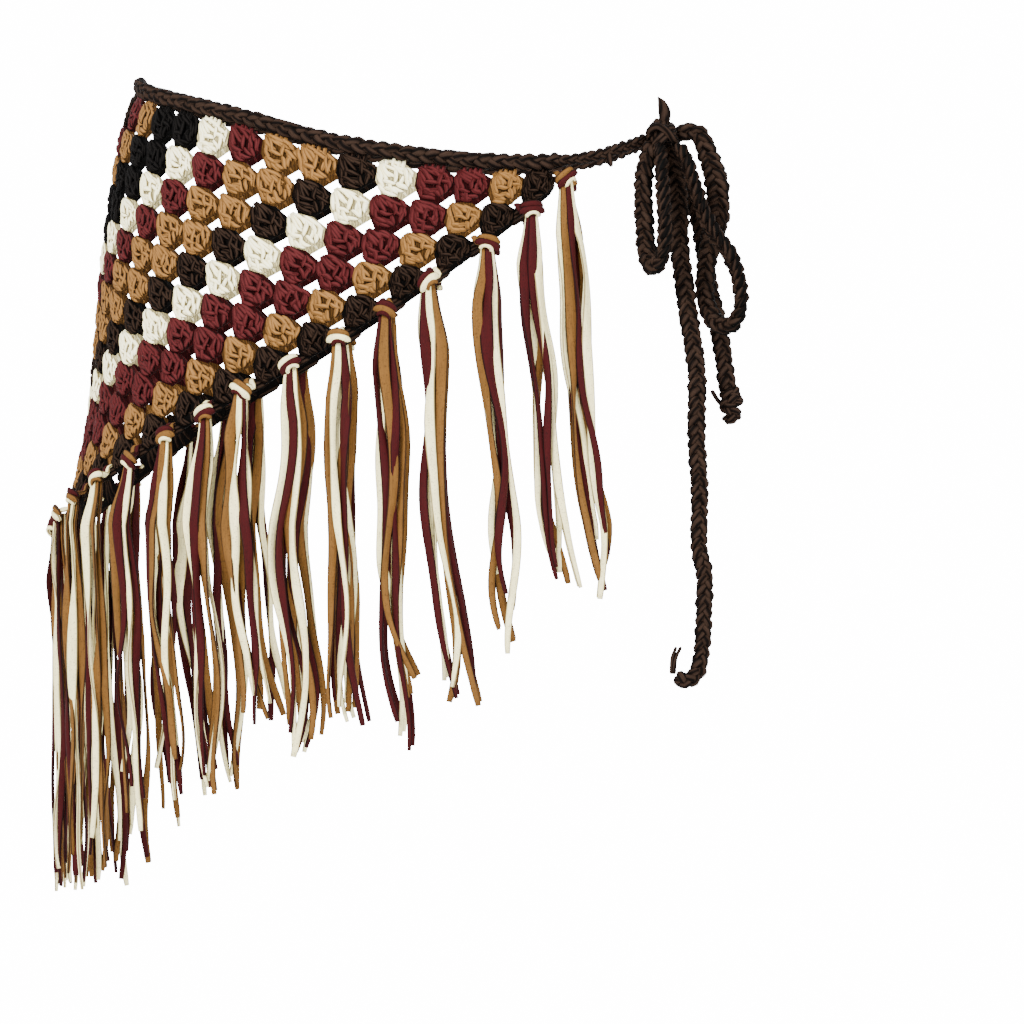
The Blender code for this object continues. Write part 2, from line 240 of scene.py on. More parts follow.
def table_value(table, at):
    """A table's second column at a value of its first, along a smooth curve."""
    rows = np.array(table, float)
    places, values = rows[:, 0], rows[:, 1]
    slopes = np.gradient(values, places)
    at = np.clip(at, places[0], places[-1])
    k = np.clip(np.searchsorted(places, at) - 1, 0, len(places) - 2)
    span = places[k + 1] - places[k]
    t = (at - places[k]) / span
    start = (1 + 2 * t) * (1 - t) ** 2 * values[k] + t * (1 - t) ** 2 * span * slopes[k]
    end = t * t * (3 - 2 * t) * values[k + 1] - t * t * (1 - t) * span * slopes[k + 1]
    return start + end


def outward(angle, side):
    """Level directions off the hip form, one for each angle from the spine."""
    turn = np.radians(np.atleast_1d(np.asarray(angle, float)))
    out = np.stack([-np.cos(turn), side * np.sin(turn) / DEPTH_PER_BREADTH, np.zeros_like(turn)], 1)
    return out / np.linalg.norm(out, axis=1, keepdims=True)


def hip_points(angle, height, lift, side, reach=1.0):
    """Points on the hip form, or lifted off it. side is -1 in front and 1 behind."""
    wanted = (np.atleast_1d(np.asarray(v, float)) for v in (angle, height, lift))
    angle, height, lift = np.broadcast_arrays(*wanted)
    half_breadth = table_value(HIP, -height)
    turn = np.radians(angle)
    x = -half_breadth * np.cos(turn) * reach
    y = side * half_breadth * DEPTH_PER_BREADTH * np.sin(turn)
    return np.stack([x, y, height], 1) + lift[:, None] * outward(angle, side)


def lattice_place(column, row, side):
    """Angle from the spine and height of a place of the lattice of stitches."""
    u = np.asarray(column, float) / ROWS
    v = np.asarray(row, float) / ROWS
    start = 124.0 * u + 10.1 * u * u - 18.7 * u**3
    angle = start + u * v * (6.0 - 37.7 * u - 28.8 * v - 6.6 * u * v)
    drop = v * (0.1941 + 0.1267 * u - 0.1211 * u * u - 0.0078 * v - 0.0102 * u * v)
    angle = angle + side * SPINE_TURN * (drop / SPINE_DROP) ** 4
    return angle, table_value(BELT_HEIGHT, start) - BELT_TO_PANEL - drop


def panel_points(column, row, lift, side):
    """Points of the panel at places of the lattice."""
    angle, height = lattice_place(column, row, side)
    points = hip_points(angle, height, lift, side)
    points[:, 1] += side * SPINE_GAP / 2
    return points


def smooth_route(route, spacing):
    """Points at an even spacing on a smooth curve through route points."""
    route = np.array(route, float)
    ends = np.vstack([2 * route[0] - route[1], route, 2 * route[-1] - route[-2]])
    fine = []
    for k in range(len(route) - 1):
        p0, p1, p2, p3 = ends[k : k + 4]
        t = np.linspace(0, 1, 24, endpoint=False)[:, None]
        fine.append(
            0.5 * (2 * p1 + (p2 - p0) * t + (2 * p0 - 5 * p1 + 4 * p2 - p3) * t * t
                   + (3 * p1 - p0 - 3 * p2 + p3) * t**3)
        )
    return even_route(np.vstack(fine + [route[-1:]]), spacing)


def even_route(fine, spacing):
    """Points at an even spacing along a fine line."""
    along = np.concatenate([[0.0], np.cumsum(np.linalg.norm(np.diff(fine, axis=0), axis=1))])
    count = max(2, round(along[-1] / spacing))
    places = np.linspace(0.0, along[-1], count + 1)
    return np.stack([np.interp(places, along, fine[:, k]) for k in range(3)], axis=1)


# Yarn: round or flat strands swept along paths and joined in one mesh.

def unit(vectors):
    return vectors / np.maximum(np.linalg.norm(vectors, axis=-1, keepdims=True), 1e-12)


def carried_normals(path, start):
    """Normals carried along a path without twist."""
    tangents = unit(np.gradient(path, axis=0))
    normals = np.empty_like(path)
    normal = np.array(start, float)
    for k, tangent in enumerate(tangents):
        normal = normal - tangent * np.dot(normal, tangent)
        normal /= np.linalg.norm(normal)
        normals[k] = normal
    return normals


class Yarn:
    """Collects strands, and makes them one mesh with lengths and turns in its UV map."""

    def __init__(self, sides=6):
        self.sides = sides
        self.points = []
        self.faces = []
        self.uvs = []
        self.count = 0

    def strand(self, path, normals, half_width, half_thick=None, spin=0.0, ends=0.55, start_at=0.0):
        """One strand. half_width lies across the normals and half_thick along them."""
        path = np.asarray(path, float)
        number = len(path)
        sides = self.sides
        half_thick = half_width if half_thick is None else half_thick
        tangents = unit(np.gradient(path, axis=0))
        normals = np.broadcast_to(np.asarray(normals, float), path.shape)
        normals = unit(normals - tangents * np.sum(normals * tangents, axis=1, keepdims=True))
        across = np.cross(tangents, normals)
        width = np.broadcast_to(np.asarray(half_width, float), (number,)).copy()
        thick = np.broadcast_to(np.asarray(half_thick, float), (number,)).copy()
        for values in (width, thick):
            values[0] *= ends
            values[-1] *= ends
        turn = 2 * math.pi * np.arange(sides) / sides
        spin = np.broadcast_to(np.asarray(spin, float), (number,))
        wide = width[:, None] * np.cos(turn)
        deep = thick[:, None] * np.sin(turn)
        cos, sin = np.cos(spin)[:, None], np.sin(spin)[:, None]
        x, y = wide * cos - deep * sin, wide * sin + deep * cos
        rings = path[:, None, :] + x[..., None] * across[:, None, :] + y[..., None] * normals[:, None, :]
        along = start_at + np.concatenate([[0.0], np.cumsum(np.linalg.norm(np.diff(path, axis=0), axis=1))])
        k, m = np.meshgrid(np.arange(number - 1), np.arange(sides), indexing="ij")
        n = (m + 1) % sides
        quads = np.stack([k * sides + m, k * sides + n, (k + 1) * sides + n, (k + 1) * sides + m], -1)
        quads = quads.reshape(-1, 4)
        uv = np.empty((number - 1, sides, 4, 2))
        uv[..., 0] = along[k][..., None]
        uv[..., 2:, 0] = along[k + 1][..., None]
        uv[..., 0, 1] = m / sides
        uv[..., 1, 1] = (m + 1) / sides
        uv[..., 2, 1] = (m + 1) / sides
        uv[..., 3, 1] = m / sides
        caps = [[*range(sides - 1, -1, -1)], [(number - 1) * sides + m for m in range(sides)]]
        self.points.append(rings.reshape(-1, 3))
        self.faces.append((quads + self.count, [[c + self.count for c in cap] for cap in caps]))
        self.uvs.append((uv.reshape(-1, 2), along))
        self.count += number * sides

    def made(self, name, look):
        points = np.vstack(self.points)
        loops, starts, uvs = [], [], []
        place = 0
        for (quads, caps), (uv, along) in zip(self.faces, self.uvs):
            loops.append(quads.reshape(-1))
            starts.append(place + 4 * np.arange(len(quads)))
            uvs.append(uv)
            place += 4 * len(quads)
            for cap, at in zip(caps, (along[0], along[-1])):
                loops.append(np.array(cap))
                starts.append(np.array([place]))
                uvs.append(np.stack([np.full(len(cap), at), np.arange(len(cap)) / len(cap)], 1))
                place += len(cap)
        loops, starts, uvs = np.concatenate(loops), np.concatenate(starts), np.vstack(uvs)
        mesh = bpy.data.meshes.new(name)
        mesh.vertices.add(len(points))
        mesh.vertices.foreach_set("co", points.astype(np.float32).ravel())
        mesh.loops.add(len(loops))
        mesh.loops.foreach_set("vertex_index", loops.astype(np.int32))
        mesh.polygons.add(len(starts))
        mesh.polygons.foreach_set("loop_start", starts.astype(np.int32))
        mesh.update(calc_edges=True)
        mesh.uv_layers.new(name="yarn").data.foreach_set("uv", uvs.astype(np.float32).ravel())
        mesh.shade_smooth()
        mesh.validate()
        mesh.materials.append(look)
        made = bpy.data.objects.new(name, mesh)
        bpy.context.scene.collection.objects.link(made)
        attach(made, "root")
        return made


def braid(yarn, path, normals, half_width, half_depth, radius, pitch):
    """Three strands plaited along a path, flat side to the normals."""
    along = np.concatenate([[0.0], np.cumsum(np.linalg.norm(np.diff(path, axis=0), axis=1))])
    tangents = unit(np.gradient(path, axis=0))
    normals = unit(normals - tangents * np.sum(normals * tangents, axis=1, keepdims=True))
    across = np.cross(tangents, normals)
    for k in range(3):
        turn = 2 * math.pi * (along / pitch + k / 3)
        sideways = (half_width * np.sin(turn))[:, None] * across
        route = path + sideways + (half_depth * np.sin(2 * turn))[:, None] * normals
        swell = 1 + SWELL * np.sin(along * 1500 + 2.1 * k) + SWELL * np.sin(along * 410 + 1.3 * k)
        yarn.strand(route, normals, radius * swell, radius * 0.92 * swell, start_at=0.013 * k)


# Materials.

def new_material(name):
    made = bpy.data.materials.new(name)
    made.use_nodes = True
    tree = made.node_tree
    return made, tree, tree.nodes["Principled BSDF"]


def math_node(tree, operation, first, second=None):
    node = tree.nodes.new("ShaderNodeMath")
    node.operation = operation
    for socket, value in zip(node.inputs, (first, second)):
        if isinstance(value, (int, float)):
            socket.default_value = value
        elif value is not None:
            tree.links.new(value, socket)
    return node.outputs[0]


def noise_node(tree, vector, scale, detail=3.0):
    node = tree.nodes.new("ShaderNodeTexNoise")
    node.inputs["Scale"].default_value = scale
    node.inputs["Detail"].default_value = detail
    tree.links.new(vector, node.inputs["Vector"])
    return node.outputs["Fac"]


# Plies of a yarn, and how fine its fibres, patches and grains are.
PLIES = 4
FIBRES_ALONG, FIBRES_ACROSS = 110.0, 34.0
PATCH_SCALE = 190.0
GRAIN_SCALE = 1500.0


def yarn_material(
    name, crest, shade_and_speckle, painted_highlight, lay=0.016, rough=0.6, ridge_share=0.45, speckle=0.0, shine=0.10
):
    """Yarn whose fibres follow its own length, with painted shade on its sides where it turns under its
    neighbours, painted shade in its ply grooves and a painted highlight on its lightest ply crests.
    """
    made, tree, shader = new_material(name)
    uv = tree.nodes.new("ShaderNodeUVMap")
    uv.uv_map = "yarn"
    parts = tree.nodes.new("ShaderNodeSeparateXYZ")
    tree.links.new(uv.outputs[0], parts.inputs[0])
    along = math_node(tree, "DIVIDE", parts.outputs[0], lay)
    turns = math_node(tree, "ADD", math_node(tree, "MULTIPLY", parts.outputs[1], PLIES), along)
    ridge = math_node(tree, "ABSOLUTE", math_node(tree, "SINE", math_node(tree, "MULTIPLY", turns, math.pi)))
    edge = math_node(tree, "SINE", math_node(tree, "MULTIPLY", parts.outputs[1], 2 * math.pi))
    edge = math_node(tree, "ABSOLUTE", edge)
    place = tree.nodes.new("ShaderNodeCombineXYZ")
    tree.links.new(math_node(tree, "MULTIPLY", parts.outputs[0], FIBRES_ALONG), place.inputs[0])
    tree.links.new(math_node(tree, "MULTIPLY", parts.outputs[1], FIBRES_ACROSS), place.inputs[1])
    fibres = noise_node(tree, place.outputs[0], 1.0, 4.0)
    where = tree.nodes.new("ShaderNodeTexCoord")
    patches = noise_node(tree, where.outputs["Object"], PATCH_SCALE, 2.0)

    # Colour along a ramp: random fibres and patches give real tone, the ply grooves get painted shade part
    # way to the shade colour, and the highest values get the painted highlight.
    shade = math_node(tree, "MULTIPLY", ridge, ridge_share)
    shade = math_node(tree, "ADD", shade, math_node(tree, "MULTIPLY", fibres, 0.60))
    shade = math_node(tree, "ADD", shade, math_node(tree, "MULTIPLY", patches, 0.30))
    ramp = tree.nodes.new("ShaderNodeValToRGB")
    ramp.color_ramp.elements[0].position = 0.25
    ramp.color_ramp.elements[0].color = (*[0.45 * h + 0.55 * c for c, h in zip(crest, shade_and_speckle)], 1)
    ramp.color_ramp.elements[1].position = 0.62
    ramp.color_ramp.elements[1].color = (*crest, 1)
    high = ramp.color_ramp.elements.new(0.92)
    high.color = (*painted_highlight, 1)
    tree.links.new(shade, ramp.inputs[0])

    # Painted shade on the strand's sides, where it turns under its neighbours: the lit colour is kept only
    # towards the faces that look along the normals.
    side_shade_ramp = tree.nodes.new("ShaderNodeMapRange")
    side_shade_ramp.interpolation_type = "SMOOTHSTEP"
    side_shade_ramp.inputs["From Min"].default_value = 0.22
    side_shade_ramp.inputs["From Max"].default_value = 0.80
    edge = math_node(tree, "ADD", edge, math_node(tree, "MULTIPLY", fibres, 0.15))
    tree.links.new(edge, side_shade_ramp.inputs["Value"])
    keep = side_shade_ramp.outputs["Result"]
    if speckle:
        grains = noise_node(tree, where.outputs["Object"], GRAIN_SCALE, 1.0)
        dots = tree.nodes.new("ShaderNodeMapRange")
        dots.inputs["From Min"].default_value = 0.30
        dots.inputs["From Max"].default_value = 0.42
        dots.inputs["To Min"].default_value = 1.0 - speckle
        tree.links.new(grains, dots.inputs["Value"])
        keep = math_node(tree, "MULTIPLY", keep, dots.outputs["Result"])
    # Mix: the painted shade colour on the strand's sides and, on tapes, in the speckles; the ramp's colour
    # elsewhere.
    mix = tree.nodes.new("ShaderNodeMix")
    mix.data_type = "RGBA"
    tree.links.new(keep, mix.inputs[0])
    mix.inputs[6].default_value = (*shade_and_speckle, 1)
    tree.links.new(ramp.outputs[0], mix.inputs[7])
    tree.links.new(mix.outputs[2], shader.inputs["Base Color"])

    height = math_node(tree, "MULTIPLY", ridge, 2 * ridge_share)
    height = math_node(tree, "ADD", height, math_node(tree, "MULTIPLY", fibres, 1.1))
    bump = tree.nodes.new("ShaderNodeBump")
    bump.inputs["Strength"].default_value = 0.7
    bump.inputs["Distance"].default_value = 0.0003
    tree.links.new(height, bump.inputs["Height"])
    tree.links.new(bump.outputs[0], shader.inputs["Normal"])
    roughness = math_node(tree, "ADD", math_node(tree, "MULTIPLY", fibres, 0.2), rough)
    tree.links.new(roughness, shader.inputs["Roughness"])
    shader.inputs["Specular IOR Level"].default_value = shine
    return made


def shade_backing_material(name, colour):
    """A dark sheet in painted shade, for the shaded inside of the stitches, seen only between strands."""
    made, tree, shader = new_material(name)
    where = tree.nodes.new("ShaderNodeTexCoord")
    wave = tree.nodes.new("ShaderNodeTexWave")
    wave.inputs["Scale"].default_value = 260.0
    wave.inputs["Distortion"].default_value = 6.0
    wave.inputs["Detail"].default_value = 2.0
    tree.links.new(where.outputs["Object"], wave.inputs["Vector"])
    ramp = tree.nodes.new("ShaderNodeValToRGB")
    ramp.color_ramp.elements[0].color = (*[0.45 * c for c in colour], 1)
    ramp.color_ramp.elements[1].color = (*colour, 1)
    tree.links.new(wave.outputs["Fac"], ramp.inputs[0])
    tree.links.new(ramp.outputs[0], shader.inputs["Base Color"])
    bump = tree.nodes.new("ShaderNodeBump")
    bump.inputs["Strength"].default_value = 0.5
    bump.inputs["Distance"].default_value = 0.0004
    tree.links.new(wave.outputs["Fac"], bump.inputs["Height"])
    tree.links.new(bump.outputs[0], shader.inputs["Normal"])
    shader.inputs["Roughness"].default_value = 0.9
    shader.inputs["Specular IOR Level"].default_value = 0.05
    return made


# The camera stands level with the middle of the picture, far off with a long lens.

CAMERA_DISTANCE = 12.0
VIEW_WIDTH = 0.4506
VIEW_MIDDLE = (0.0387, -0.06, -0.1848)
SENSOR = 36.0


def camera():
    data = bpy.data.cameras.new("camera")
    data.sensor_width = SENSOR
    data.lens = SENSOR * CAMERA_DISTANCE / VIEW_WIDTH
    data.clip_end = 100.0
    made = bpy.data.objects.new("camera", data)
    made.location = (VIEW_MIDDLE[0], VIEW_MIDDLE[1] - CAMERA_DISTANCE, VIEW_MIDDLE[2])
    made.rotation_euler = (math.radians(90), 0.0, 0.0)
    bpy.context.scene.collection.objects.link(made)
    bpy.context.scene.camera = made


def area_light(name, place, target, size, power):
    data = bpy.data.lights.new(name, "AREA")
    data.shape = "SQUARE"
    data.size = size
    data.energy = power
    made = bpy.data.objects.new(name, data)
    made.location = place
    way = np.array(target) - np.array(place)
    made.rotation_euler = (
        math.atan2(math.hypot(way[0], way[1]), -way[2]),
        0.0,
        math.atan2(way[1], way[0]) - math.pi / 2,
    )
    bpy.context.scene.collection.objects.link(made)


def staged(name, corners, look):
    mesh = bpy.data.meshes.new(name)
    mesh.from_pydata(corners, [], [(0, 1, 2, 3)])
    mesh.materials.append(look)
    made = bpy.data.objects.new(name, mesh)
    bpy.context.scene.collection.objects.link(made)


def studio():
    world = bpy.data.worlds.new("studio")
    world.use_nodes = True
    background = world.node_tree.nodes["Background"]
    background.inputs["Color"].default_value = (1.0, 1.0, 1.0, 1.0)
    background.inputs["Strength"].default_value = 1.7
    bpy.context.scene.world = world
    middle = (0.0, 0.0, -0.15)
    area_light("key", (-0.9, -1.7, 1.1), middle, 0.8, 115.0)
    area_light("fill", (1.6, -1.3, 0.3), middle, 1.2, 36.0)
    area_light("back", (0.4, 1.8, 0.9), middle, 1.4, 30.0)

    look, tree, shader = new_material("floor")
    where = tree.nodes.new("ShaderNodeTexCoord")
    grain = noise_node(tree, where.outputs["Object"], 40.0)
    ramp = tree.nodes.new("ShaderNodeValToRGB")
    ramp.color_ramp.elements[0].color = (0.86, 0.86, 0.86, 1)
    ramp.color_ramp.elements[1].color = (0.90, 0.90, 0.90, 1)
    tree.links.new(grain, ramp.inputs[0])
    tree.links.new(ramp.outputs[0], shader.inputs["Base Color"])
    shader.inputs["Roughness"].default_value = 0.9
    half, height = 1.3, -0.45
    corners = [(-half, -half, height), (half, -half, height), (half, half, height), (-half, half, height)]
    staged("floor", corners, look)

    look, tree, shader = new_material("backdrop")
    shader.inputs["Base Color"].default_value = (0.9, 0.9, 0.9, 1)
    shader.inputs["Emission Color"].default_value = (1, 1, 1, 1)
    shader.inputs["Emission Strength"].default_value = 14.0
    left, right, low, high, away = -1.02, 1.10, -1.25, 0.88, 40.0
    corners = [(left, away, low), (right, away, low), (right, away, high), (left, away, high)]
    staged("backdrop", corners, look)


# The cords of the bow.

CORD_SPACING = 0.0011
YARN_SPACING = 0.0008
TO_VIEWER = (0, -1, 0)

# Rings of cord round the knot: middle from the knot's centre, two half axes, radius, points.
KNOT_WRAPS = (
    ((-0.0010, 0.002, 0.0004), (0.0022, 0.0085, 0.0), (0.0014, 0.0, 0.0044), 0.0034, 48),
    ((0.0022, 0.002, -0.0006), (0.0030, 0.0060, 0.0010), (-0.0016, 0.0, 0.0036), 0.0032, 44),
    ((0.0006, 0.001, -0.0008), (0.0046, 0.0, 0.0010), (0.0, 0.0078, 0.0), 0.0031, 44),
)

# Yarns over the front of the knot, from its centre.
KNOT_BAND = (
    (-0.0052, -0.0040, -0.0022),
    (-0.0050, -0.0088, 0.0016),
    (-0.0018, -0.0112, 0.0034),
    (0.0022, -0.0116, 0.0014),
    (0.0052, -0.0100, -0.0022),
    (0.0072, -0.0050, -0.0044),
)
KNOT_CROSSING = (
    (0.0050, -0.0060, 0.0036),
    (0.0024, -0.0104, 0.0026),
    (-0.0012, -0.0112, -0.0012),
    (-0.0042, -0.0094, -0.0050),
)

# The tuft: share of its height, half width of its leaf.
TUFT_LEAF = ((0, 0.0019), (0.25, 0.0024), (0.55, 0.0028), (0.8, 0.0019), (1, 0.0002))

# Rings of cord round the knot of the short end, from its centre, and the yarn that sticks out of it.
END_WRAPS = (
    ((-0.0004, 0.0, 0.0052), (0.0026, 0.0, 0.0010), (0.0, 0.0026, 0.0), 0.0028),
    ((0.0002, 0.0, 0.0020), (0.0032, 0.0, 0.0014), (0.0, 0.0030, 0.0), 0.0029),
    ((-0.0002, 0.0, -0.0016), (0.0028, 0.0, -0.0020), (0.0, 0.0028, 0.0), 0.0028),
    ((0.0004, 0.0, -0.0046), (0.0024, 0.0, 0.0012), (0.0, 0.0022, 0.0006), 0.0024),
)
END_STRAY = ((-0.002, 0.0, -0.001), (-0.0055, 0.0, 0.0025), (-0.0085, 0.0, 0.0072))

# How much wider the flat face of each free cord is, at places along it from 0 to 1.
BROAD_LEFT_LOOP = ((0, 1), (0.12, 1.35), (0.35, 1.4), (0.5, 1.3), (0.62, 1.6), (0.85, 1.6), (1, 1))
BROAD_RIGHT_LOOP = (
    (0, 1), (0.08, 1.3), (0.14, 1.65), (0.28, 1.7), (0.34, 1.3),
    (0.45, 1.2), (0.6, 1.2), (0.72, 1.55), (0.92, 1.55), (1, 1),
)
BROAD_LONG_END = ((0, 1.4), (0.3, 1.3), (0.7, 1.1), (1, 1))
BROAD_SHORT_END = ((0, 1.2), (1, 1.2))


def cord_piece(yarn, name, look, node):
    """A piece of the belt's cord that takes the place of a solid."""
    made = yarn.made(name, look)
    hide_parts(node)
    return made


def free_cord(name, route, node, look, start_normal, broad):
    """A plaited cord. broad lists places along it and how much wider its flat face is there."""
    path = smooth_route(route, CORD_SPACING)
    yarn = Yarn(8)
    share = np.linspace(0, 1, len(path))
    wider = np.interp(share, *zip(*broad))
    half_width, half_depth, radius, pitch = FREE_PLAIT
    normals = carried_normals(path, start_normal)
    braid(yarn, path, normals, half_width * wider, half_depth, radius * wider**0.35, pitch)
    made = cord_piece(yarn, name, look, node)


def hoop(yarn, centre, first, second, radius, number=34):
    """A ring of plaited cord round a knot, through two half axes."""
    turn = np.linspace(0, 2 * math.pi, number)
    centre, first, second = (np.array(v, float) for v in (centre, first, second))
    path = centre + np.cos(turn)[:, None] * first + np.sin(turn)[:, None] * second
    braid(yarn, path, unit(path - centre), radius * 0.55, radius * 0.3, radius * 0.5, TIE_PLAIT[3])


def bow_knot(look):
    knot = Yarn(8)
    for middle, first, second, radius, number in KNOT_WRAPS:
        hoop(knot, np.add(KNOT_CENTRE, middle), first, second, radius, number)
    band = smooth_route(np.add(KNOT_CENTRE, KNOT_BAND), YARN_SPACING)
    knot.strand(band, TO_VIEWER, 0.0017, 0.0011, ends=0.5)
    crossing = smooth_route(np.add(KNOT_CENTRE, KNOT_CROSSING), YARN_SPACING)
    for drop in (0.0, 0.0026):
        knot.strand(crossing + (0.0008, 0.0002, -drop), TO_VIEWER, 0.0015, 0.0010, ends=0.5)
    cord_piece(knot, "knot_wraps", look, "bow_knot")


def bow_tuft(look):
    """The tuft over the knot: two flat yarn ends, one behind the other."""
    tuft = Yarn(8)
    path = smooth_route(KNOT_TUFT, 0.0006)
    rise = np.linspace(0, 1, len(path))
    leaf = np.interp(rise, *zip(*TUFT_LEAF))
    tuft.strand(path, TO_VIEWER, leaf, 0.0007, spin=0.25 * np.sin(5 * rise), ends=1.0)
    inner = path + np.stack([0.0009 * rise, 0.0009 + 0 * rise, -0.0012 * rise], 1)
    tuft.strand(inner, TO_VIEWER, 0.9 * leaf, 0.0006, spin=-0.3, ends=1.0)
    cord_piece(tuft, "knot_tuft", look, "bow_tuft")


def long_end_tail(look):
    """Two yarn ends past the end of the long cord, leaning apart."""
    tail = Yarn(7)
    path = smooth_route(LONG_END_TAIL, YARN_SPACING)
    rise = np.linspace(0, 1, len(path))
    for lean in (-0.0007, 0.0008):
        bend = path + np.stack([lean * (0.4 + rise), 0 * rise, 0 * rise], 1)
        tail.strand(bend, TO_VIEWER, 0.0012 * (1 - 0.4 * rise), ends=0.6)
    return cord_piece(tail, "long_end_tail_yarn", look, "end_tail_long")


def short_end_knot(look):
    end = Yarn(8)
    for middle, first, second, radius in END_WRAPS:
        hoop(end, np.add(END_KNOT_CENTRE, middle), first, second, radius)
    end.strand(smooth_route(np.add(END_KNOT_CENTRE, END_STRAY), YARN_SPACING), TO_VIEWER, 0.0010)
    return cord_piece(end, "short_end_wraps", look, "end_knot_short")


def bow(look):
    """The knot, its loops and ends."""
    bow_knot(look)
    bow_tuft(look)
    tail = long_end_tail(look)
    end = short_end_knot(look)
    rows = (
        ("loop_left_cord", LOOP_LEFT, "bow_loop_left", "object", (-0.6, -0.8, 0.0), BROAD_LEFT_LOOP, ()),
        ("loop_right_cord", LOOP_RIGHT, "bow_loop_right", "object", (0.2, -1.0, 0.0), BROAD_RIGHT_LOOP, ()),
        ("end_long_cord", END_LONG, "tie_end_long", "bare", (0.3, -1.0, 0.0), BROAD_LONG_END, [tail]),
        ("end_short_cord", END_SHORT, "tie_end_short", "knot", (0.3, -1.0, 0.0), BROAD_SHORT_END, [end]),
    )
    for name, route, node, far_end, start_normal, broad, with_pieces in rows:
        free_cord(name, route, node, look, start_normal, broad)


# The belt.

BELT_SPACING = 0.0012
BELT_MIDDLE = (-0.004, 0.0, 0.0)
STUB_AT = 0.0801
STUB_REACH = (0.0020, -0.0014, -0.0060)
STUB_HALF_WIDTHS = (0.0019, 0.0019, 0.0017, 0.0014, 0.0007)


def belt(look):
    """The waistband and the ties: a plaited cord in the lengths of the part."""
    def route(stops):
        fine = []
        for first, last, side in stops:
            angles = np.linspace(first, last, 240)
            heights, reach = table_value(BELT_HEIGHT, angles), table_value(BELT_REACH, angles)
            fine.append(hip_points(angles, heights, BELT_LIFT, side, reach))
        return even_route(np.vstack(fine), BELT_SPACING)

    corner = BELT_CORNER_ANGLE
    lengths = {
        "waistband_front": ((0.2, corner, -1),),
        "waistband_back": ((0.2, corner, 1),),
        "tie_front": ((corner - 0.4, KNOT_ANGLE_FRONT + 2.0, -1),),
        "tie_back": ((corner - 0.4, 180.0, 1), (179.9, KNOT_ANGLE_BACK - 2.0, -1)),
    }
    for node, stops in lengths.items():
        path = route(stops)
        normals = (path - BELT_MIDDLE) * (1.0, 1.7, 0.0)
        yarn = Yarn(8)
        plait = TIE_PLAIT if node.startswith("tie") else BELT_PLAIT
        braid(yarn, path, unit(normals), *plait)
        if node == "tie_front":
            # A yarn end that sticks out under the tie.
            root = path[np.argmin(np.abs(path[:, 0] - STUB_AT))]
            stub = root + np.linspace(0, 1, 5)[:, None] * STUB_REACH
            yarn.strand(stub, TO_VIEWER, STUB_HALF_WIDTHS, ends=1.0)
        cord_piece(yarn, node + "_plait", look, node)


# The granny stitch.

# Lifts of the shell off the hip form: outer face, its crown, inner face.
SHELL_OUTER = 0.0017
SHELL_CROWN = 0.0024
SHELL_INNER = 0.0006


def backing(name, side, looks):
    """A thin shell with the panel's open gaps, which closes the clusters behind their strands with a dark
    sheet of painted shade.
    """
    first, last = SHELL_START, SHELL_END
    shares = ((first, 0), (last, 0), (1, first), (1, last), (last, 1), (first, 1), (0, last), (0, first))
    fan = ((0.34, 0.14), (0.86, 0.34), (0.76, 0.76), (0.34, 0.86), (0.14, 0.34))
    rings = ((7, 0, 8, 12), (0, 1, 9, 8), (1, 2, 9), (2, 3, 10, 9), (3, 4, 10),
             (4, 5, 11, 10), (5, 6, 11), (6, 7, 12, 11), (8, 9, 10, 11, 12))
    places, index, faces, slots = [], {}, [], []

    def corner(place, lift):
        key = (round(place[0], 3), round(place[1], 3), lift)
        if key not in index:
            index[key] = len(places)
            places.append(key)
        return index[key]

    uses = {}

    def note_walls(outer, inner, slot):
        number = len(outer)
        for m in range(number):
            n = (m + 1) % number
            key = tuple(sorted((outer[m], outer[n])))
            uses.setdefault(key, []).append((outer[m], outer[n], inner[n], inner[m], slot))

    for column in range(ROWS):
        for row in range(ROWS - column):
            slot = column + row
            border = [(column + s, row + t) for s, t in shares]
            outer = [corner(place, SHELL_OUTER) for place in border]
            outer += [corner((column + s, row + t), SHELL_CROWN) for s, t in fan]
            for ring in rings:
                faces.append([outer[m] for m in ring])
                slots.append(slot)
            inner = [corner(place, SHELL_INNER) for place in border]
            faces.append(inner[::-1])
            slots.append(slot)
            note_walls(outer[:8], inner, slot)
    for column in range(1, ROWS):
        row = ROWS - column
        border = [(column + first, row), (column + last, row), (column, row + last), (column, row + first)]
        outer = [corner(place, SHELL_OUTER) for place in border]
        inner = [corner(place, SHELL_INNER) for place in border]
        faces += [outer, inner[::-1]]
        slots += [ROWS - 1, ROWS - 1]
        note_walls(outer, inner, ROWS - 1)
    for found in uses.values():
        if len(found) == 1:
            a, b, c, d, slot = found[0]
            faces.append([b, a, d, c])
            slots.append(slot)
    places = np.array(places)
    points = panel_points(places[:, 0], places[:, 1], places[:, 2], side)
    if side > 0:
        faces = [face[::-1] for face in faces]
    mesh = bpy.data.meshes.new(name)
    mesh.from_pydata([tuple(point) for point in points], [], faces)
    order = list(looks)
    for key in order:
        mesh.materials.append(looks[key])
    mesh.polygons.foreach_set("material_index", [order.index(ROW_YARNS[slot]) for slot in slots])
    mesh.update()
    made = bpy.data.objects.new(name, mesh)
    bpy.context.scene.collection.objects.link(made)
    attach(made, "root")
    return made


